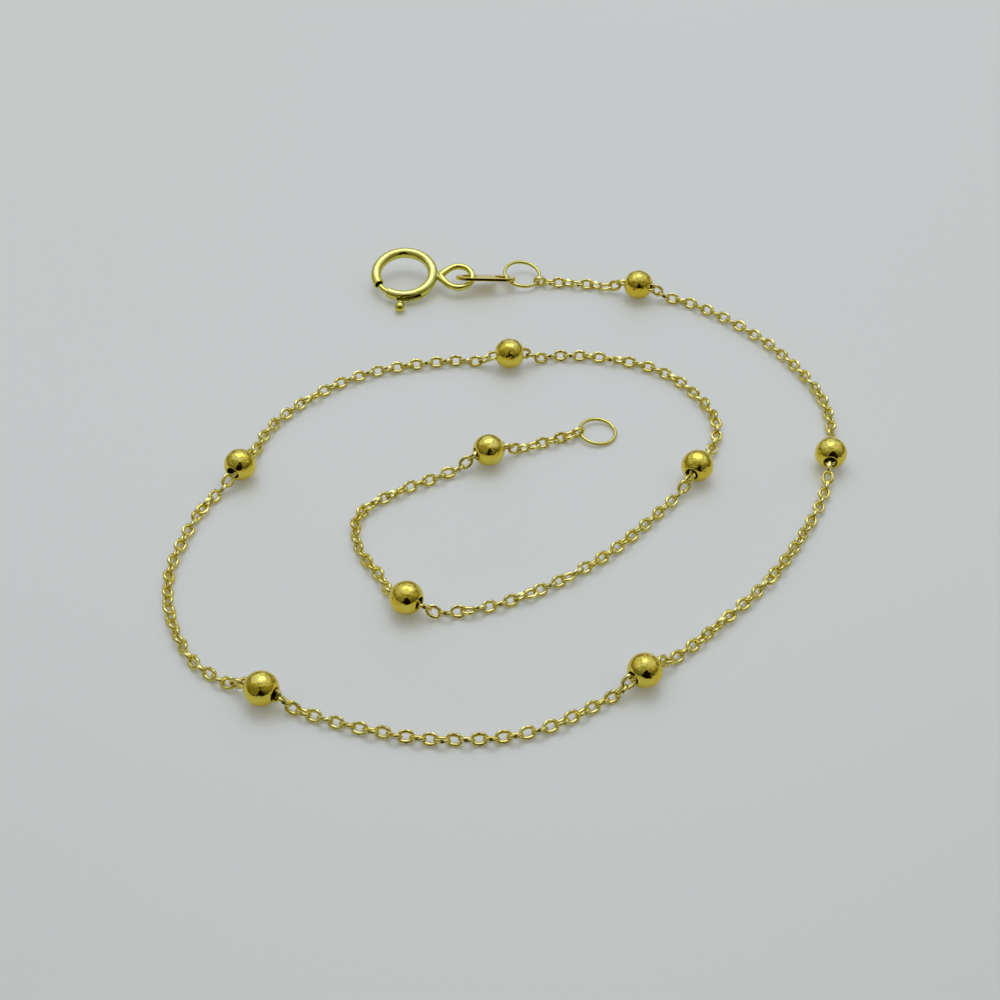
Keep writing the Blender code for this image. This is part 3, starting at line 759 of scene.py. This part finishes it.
def drop_path():
    """An arc of the loop's circle and two tangents to the point, spaced evenly, then averaged smooth."""
    tangent = math.acos(LOOP_RADIUS / POINT_REACH)
    arc = circle(LOOP_RADIUS, tangent - math.pi, math.pi - tangent, ARC_STEPS)
    corners = np.vstack((arc, [(-POINT_REACH, 0, 0)], arc[:1]))
    gone = np.concatenate(([0], np.cumsum(np.linalg.norm(np.diff(corners, axis=0), axis=1))))
    even = np.linspace(0, gone[-1], LOOP_STEPS, endpoint=False)
    path = np.column_stack([np.interp(even, gone, corners[:, k]) for k in range(3)])
    for again in range(SMOOTHINGS):
        path = (np.roll(path, 1, axis=0) + 2 * path + np.roll(path, -1, axis=0)) / 4
    return path


drop = drop_path()
near = np.exp(-((drop[:, 0] + POINT_REACH) / SOLDER_REACH) ** 2)[:, None]
inner_side = np.clip(-np.cos(np.arange(LOOP_SIDES) * math.tau / LOOP_SIDES), 0, 1)[None]
loop_grid = wire_grid(drop, LOOP_WIRE / 2 * (1 + SOLDER_SWELL * near * inner_side), LOOP_SIDES, closed=True)
loop_place = CLASP_PLACE @ Matrix.Rotation(LOOP_ANGLE, 4, "Z") @ Matrix.Translation((LOOP_REACH, 0, 0))
clasp_loop = piece("clasp_loop", [outward(*skin(loop_grid, close_rows=True))], RING_GOLD, loop_place)
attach(clasp_loop, "anklet")

# %% [markdown]
# ## The bolt
#
# The bolt is a curved wire inside the tube. A thumbnail pushes its knob along the slot, which draws the
# bolt back and opens the gate, and a coil spring hidden in the tube closes it again. The bolt, its stem
# and its ball knob are one piece of metal, so they are one mesh that rides on the moving body. The stem
# widens outside the slot to carry the knob, and the rod's tail, which always stays in the tube, is left
# unpolished, and its colour is painted dark there as shade.

# %% Bolt and knob
BOLT_WIRE, KNOB_DIAMETER, KNOB_STEM, KNOB_REACH = 0.00046, 0.00092, 0.00028, 0.00040
BOLT_GAP, BOLT_TAIL, COLLAR = 0.00010, math.radians(31), 1.3
KNOB_RADIUS = CLASP_DIAMETER / 2 + KNOB_REACH + KNOB_DIAMETER / 2
ROD_STEPS, ROD_SIDES, ROD_ROUNDING = 90, 20, 0.04
STEM_STEPS, STEM_SIDES, STEM_ROUNDING = 14, 16, 0.15
KNOB_ROWS, KNOB_SIDES = 17, 28
# The rod goes dull, and its colour is painted dark as shade, from this many degrees past the knob, over
# this many more.
DULL_SHADE_FROM, DULL_SHADE_OVER = 5, 4


def ball_profile(radius, rows):
    """Half a circle from pole to pole, as (radius, height): (r sin a, r cos a)."""
    a = np.linspace(0, math.pi, rows)
    return np.column_stack((radius * np.sin(a), radius * np.cos(a)))


def bolt_skins():
    """The curved rod with rounded ends, a straight stem along the radius, and a ball at its end."""
    tip = GATE_FIRST + BOLT_GAP / CLASP_RADIUS
    rod_path = circle(CLASP_RADIUS, tip, KNOB_ANGLE + BOLT_TAIL, ROD_STEPS)
    rod = wire_grid(rod_path, rounded_ends(ROD_STEPS, BOLT_WIRE / 2, ROD_ROUNDING), ROD_SIDES)
    ray = np.array((math.cos(KNOB_ANGLE), math.sin(KNOB_ANGLE), 0))
    reach = np.linspace(CLASP_RADIUS, KNOB_RADIUS, STEM_STEPS)
    out_share = np.clip((reach - CLASP_DIAMETER / 2) / KNOB_REACH, 0, 1)
    stem_radius = rounded_ends(STEM_STEPS, KNOB_STEM / 2, STEM_ROUNDING) * (1 + COLLAR * out_share ** 2)
    stem = wire_grid(ray * reach[:, None], stem_radius, STEM_SIDES)
    knob = turned(ball_profile(KNOB_DIAMETER / 2, KNOB_ROWS), KNOB_SIDES) + ray * KNOB_RADIUS
    ball = skin(knob, close_rows=True, close_columns=False)
    return [outward(*skin(rod)), outward(*skin(stem)), outward(*ball)]


bolt = piece("bolt_and_knob", bolt_skins(), BOLT_GOLD, CLASP_PLACE, weld=WELD)
local = np.zeros(len(bolt.data.vertices) * 3, np.float32)
bolt.data.vertices.foreach_get("co", local)
back = np.array(CLASP_PLACE.inverted())
local = local.reshape(-1, 3) @ back[:3, :3].T + back[:3, 3]
past_knob = np.degrees(np.arctan2(local[:, 1], local[:, 0])) % 360 - math.degrees(KNOB_ANGLE)
in_tube = np.hypot(local[:, 0], local[:, 1]) < CLASP_DIAMETER / 2
# Painted shade: the rod's tail in the tube is made rougher and darker.
tail_dull_and_shade = (np.clip((past_knob - DULL_SHADE_FROM) / DULL_SHADE_OVER, 0, 1) * in_tube).astype(np.float32)
bolt.data.attributes.new("inside", "FLOAT", "POINT").data.foreach_set("value", tail_dull_and_shade)
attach(bolt, "bolt")
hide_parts("bolt")

# %% [markdown]
# ## The tag's outline
#
# The tag is a slip of flat sheet with round ends and a hole at each end. It joins the clasp's loop to
# the jump ring. Half of its face is the space between one hole and the plate's outline: straight rays
# from the hole's middle run from one to the other. The plate is left blank.

# %% Tag outline
TAG_THICKNESS, TAG_EDGE = 0.00029, 0.00004
TAG_SPACING, TAG_WIDTH, TAG_LENGTH, TAG_HOLE = 0.0029, 0.0020, 0.00526, 0.00128
OUTLINE_RAYS, MIDDLE_RAYS = 61, 17
NEARLY_ZERO = 1e-9


def half_outline(inset, angles):
    """Where rays from the right hole's middle meet the right half of a plate that is smaller by inset."""
    c, s = np.cos(angles), np.sin(angles)
    half, hole_x = TAG_WIDTH / 2 - inset, TAG_SPACING / 2
    round_x = TAG_LENGTH / 2 - TAG_WIDTH / 2
    shift = hole_x - round_x
    to_round = -c * shift + np.sqrt(np.maximum((c * shift) ** 2 + half ** 2 - shift ** 2, 0))
    to_side = half / np.maximum(np.abs(s), NEARLY_ZERO)
    to_middle = np.where(c < 0, hole_x / np.maximum(-c, NEARLY_ZERO), np.inf)
    on_round = hole_x + to_round * c >= round_x
    reach = np.where(on_round, to_round, np.minimum(to_side, to_middle))
    return np.column_stack((hole_x + reach * c, reach * s))


corner = math.atan2(TAG_WIDTH / 2 - TAG_EDGE, -TAG_SPACING / 2)
TAG_ANGLES = np.concatenate((np.linspace(-corner, corner, OUTLINE_RAYS),
                             np.linspace(corner, math.tau - corner, MIDDLE_RAYS)[1:-1]))
print("tag rays", len(TAG_ANGLES))

# %% [markdown]
# ## The tag's faces and rims
#
# The mirror image makes the other half of each face. Rims with a rounded edge above and below go round
# the outline and both holes, and everything is welded where it meets. The corners of the rims stay
# sharp enough to catch the light.

# %% Tag skins
FACE_ROWS, RIM_ROWS = 4, 5
TAG_TURN, TAG_SHARP = degrees(-27, 6, 6), math.radians(50)


def rim(line, away, section):
    """A section of (outward, height) pairs carried round a flat line: line + outward away, height."""
    rows = [np.column_stack((line + away * out, np.full(len(line), z))) for out, z in section]
    return np.stack(rows, axis=1)


def tag_skins():
    """Flat faces between hole and outline, and rims carried round the outline and both holes."""
    half = TAG_THICKNESS / 2
    ring = np.column_stack((np.cos(TAG_ANGLES), np.sin(TAG_ANGLES)))
    hole = np.array((TAG_SPACING / 2, 0)) + ring * (TAG_HOLE / 2 + TAG_EDGE)
    border = half_outline(TAG_EDGE, TAG_ANGLES)
    share = np.linspace(0, 1, FACE_ROWS)[:, None, None]
    face = hole[None] * (1 - share) + border[None] * share
    face = np.concatenate((face, np.full(face.shape[:2] + (1,), half)), axis=-1)
    faces = [face * (sx, 1, sz) for sx in (1, -1) for sz in (1, -1)]
    # The rim's section: top edge, straight wall, bottom edge.
    t = np.linspace(0, math.pi / 2, RIM_ROWS)
    out, down = np.sin(t) * TAG_EDGE, (1 - np.cos(t)) * TAG_EDGE
    section = np.vstack((np.column_stack((out, half - down)), np.column_stack((out, down - half))[::-1]))
    right = border[:OUTLINE_RAYS]
    outline = np.vstack((right, right[::-1] * (-1, 1)))
    step = np.roll(outline, -1, axis=0) - np.roll(outline, 1, axis=0)
    step /= np.linalg.norm(step, axis=1)[:, None]
    away = np.column_stack((step[:, 1], -step[:, 0]))
    away[[0, -1]] = (0, -1)
    away[[OUTLINE_RAYS - 1, OUTLINE_RAYS]] = (0, 1)
    rims = [rim(outline, away, section)] + [rim(hole, -ring, section) * (sx, 1, 1) for sx in (1, -1)]
    return [skin(f) for f in faces] + [skin(r, close_rows=True, close_columns=False) for r in rims]


TAG_PLACE = Matrix.Translation(middle_of("tag")) @ TAG_TURN.to_matrix().to_4x4()
tag = piece("tag_plate", tag_skins(), TAG_GOLD, TAG_PLACE, weld=WELD)
tag.data.set_sharp_from_angle(angle=TAG_SHARP)
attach(tag, "anklet")
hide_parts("tag")

# %% [markdown]
# ## The table
#
# The table is a pale sheet of thick, faintly glossy plastic. Light that enters it wanders for some
# millimetres before it comes out again, so small shadows are filled from inside. A weak even glow
# stands for that light, and the soft shine shows the anklet's own warm light next to it. The table's
# colour is painted slightly darker towards the viewer, as shade where the lamp is further away.

# %% Table
TABLE_HALF = 1.5
TABLE_ROUGHNESS, TABLE_SHINE = 0.38, 0.45
TABLE_GLOW, GLOW_COLOUR = 0.15, (0.97, 1.0, 0.99, 1)
TABLE_BACK, TABLE_BACK_CLOUD = (0.617, 0.605, 0.399, 1), (0.627, 0.615, 0.406, 1)
TABLE_FRONT_SHADE = (0.535, 0.532, 0.343, 1)
FRONT_SHADE_FROM_TO = (-0.060, 0.010)
CLOUD_SCALE, CLOUD_FROM_TO = 6.0, (0.3, 0.7)


def table_finish():
    """Pale plastic: two close colours in slow clouds, and a third, darker one towards the front as painted
    shade.
    """
    material = bpy.data.materials.new("table")
    material.use_nodes = True
    tree = material.node_tree
    shader = tree.nodes["Principled BSDF"]
    shader.inputs["Roughness"].default_value = TABLE_ROUGHNESS
    shader.inputs["Specular IOR Level"].default_value = TABLE_SHINE
    shader.inputs["Emission Color"].default_value = GLOW_COLOUR
    shader.inputs["Emission Strength"].default_value = TABLE_GLOW
    flow = Flow(tree)
    where = coordinates(flow)
    cloud = noise(flow, where, CLOUD_SCALE, 1.0).step(*CLOUD_FROM_TO)
    y = flow.node("ShaderNodeSeparateXYZ", None, {"Vector": where}, output=1)
    # Painted shade: the colour goes darker towards the viewer.
    front = 1 - y.step(*FRONT_SHADE_FROM_TO)
    colour = mixed(flow, front, mixed(flow, cloud, TABLE_BACK, TABLE_BACK_CLOUD), TABLE_FRONT_SHADE)
    tree.links.new(colour.socket, shader.inputs["Base Color"])
    return material


corners = np.array([[(-TABLE_HALF, -TABLE_HALF, 0), (-TABLE_HALF, TABLE_HALF, 0)],
                    [(TABLE_HALF, -TABLE_HALF, 0), (TABLE_HALF, TABLE_HALF, 0)]])
table = piece("table", [skin(corners, close_columns=False)], table_finish())

# %% [markdown]
# ## The light box
#
# The photograph was taken in a small white light box with its front open. Polished gold shows that box
# all over: the lamp above and slightly behind as the bright patch on each ball, the grey walls that
# fade towards the table, and the dark figure of the photographer as the wedge in each ball's middle.
# The sky here is that box: a soft brightness that is strongest overhead and slightly behind, a dark
# wedge in front, and a little unevenness. The light from above is cool and the light off the lower
# walls is warm, so bright reflections come out paler.

# %% Light box walls
BRIGHTEST = Vector((0.0, 0.4, 0.92)).normalized()
WALL_LOW, WALL_RISE, WALL_POWER = 0.24, 0.78, 2.2
FRONT_STEP, FRONT_DIMMER = (-0.1, 0.5), 0.3
UNEVEN_LOW, UNEVEN_RISE, UNEVEN_SCALE, UNEVEN_DETAIL = 0.15, 1.7, 5.0, 4.0
NEAR_TABLE, ABOVE_RISE, ABOVE_STEP = 0.55, 0.47, (0.0, 0.45)
WEDGE_WIDENING, WEDGE_LEAN, WEDGE_X = 0.55, 0.27, 0.06
WEDGE_STEP, WEDGE_FRONT_STEP, WEDGE_DEPTH = (-0.10, 0.10), (0.0, 0.3), 0.95
WARM_LIGHT, COOL_LIGHT, WEDGE_LIGHT = (1.0, 0.98, 0.60, 1), (0.89, 1.0, 1.95, 1), (1.0, 0.52, 0.25, 1)
COOL_STEP = (0.2, 0.95)


def light_box():
    """Brightness low + rise (d . brightest)^power over directions d, with a dark wedge in front."""
    world = bpy.data.worlds.new("light_box")
    bpy.context.scene.world = world
    world.use_nodes = True
    tree = world.node_tree
    flow = Flow(tree)
    where = coordinates(flow, "Generated")
    x, y, z = (flow.node("ShaderNodeSeparateXYZ", None, {"Vector": where}, output=k) for k in range(3))
    front = y * -1
    facing = flow.math("MAXIMUM", x * BRIGHTEST.x + y * BRIGHTEST.y + z * BRIGHTEST.z, 0.0)
    walls = WALL_LOW + WALL_RISE * flow.math("POWER", facing, WALL_POWER)
    uneven = UNEVEN_LOW + noise(flow, where, UNEVEN_SCALE, UNEVEN_DETAIL) * UNEVEN_RISE
    walls = walls * (1 - front.step(*FRONT_STEP) * FRONT_DIMMER) * uneven
    walls = walls * (NEAR_TABLE + z.step(*ABOVE_STEP) * ABOVE_RISE)
    wedge = (front * WEDGE_WIDENING - z * WEDGE_LEAN - abs(x - WEDGE_X)).step(*WEDGE_STEP)
    wedge = wedge * front.step(*WEDGE_FRONT_STEP)
    strength = walls * (1 - wedge * WEDGE_DEPTH)
    colour = mixed(flow, wedge, mixed(flow, walls.step(*COOL_STEP), WARM_LIGHT, COOL_LIGHT), WEDGE_LIGHT)
    shade = tree.nodes["Background"]
    tree.links.new(colour.socket, shade.inputs["Color"])
    tree.links.new(strength.socket, shade.inputs["Strength"])
    print("light box nodes:", len(tree.nodes))


light_box()

# %% [markdown]
# ## The lamp
#
# One wide lamp hangs above and behind the anklet. It is large for its distance, so shadows stay soft
# and short, and its mirror image is the bright patch near the top of every bead.

# %% Lamp
LAMP_PLACE, LAMP_SIZE = (0.0, 0.20, 0.43), (0.33, 0.23)
LAMP_POWER, LAMP_COLOUR = 0.36, (0.96, 1.0, 1.0)

lamp = bpy.data.lights.new("lamp_above", "AREA")
lamp.shape = "RECTANGLE"
lamp.size, lamp.size_y = LAMP_SIZE
lamp.energy = LAMP_POWER
lamp.color = LAMP_COLOUR
lamp_thing = bpy.data.objects.new("lamp_above", lamp)
lamp_thing.location = LAMP_PLACE
lamp_thing.rotation_euler = Vector(LAMP_PLACE).to_track_quat("Z", "Y").to_euler()
bpy.context.scene.collection.objects.link(lamp_thing)
bpy.context.scene.view_settings.view_transform = "Standard"
print("lamp is", round(Vector(LAMP_PLACE).length, 2), "m away")
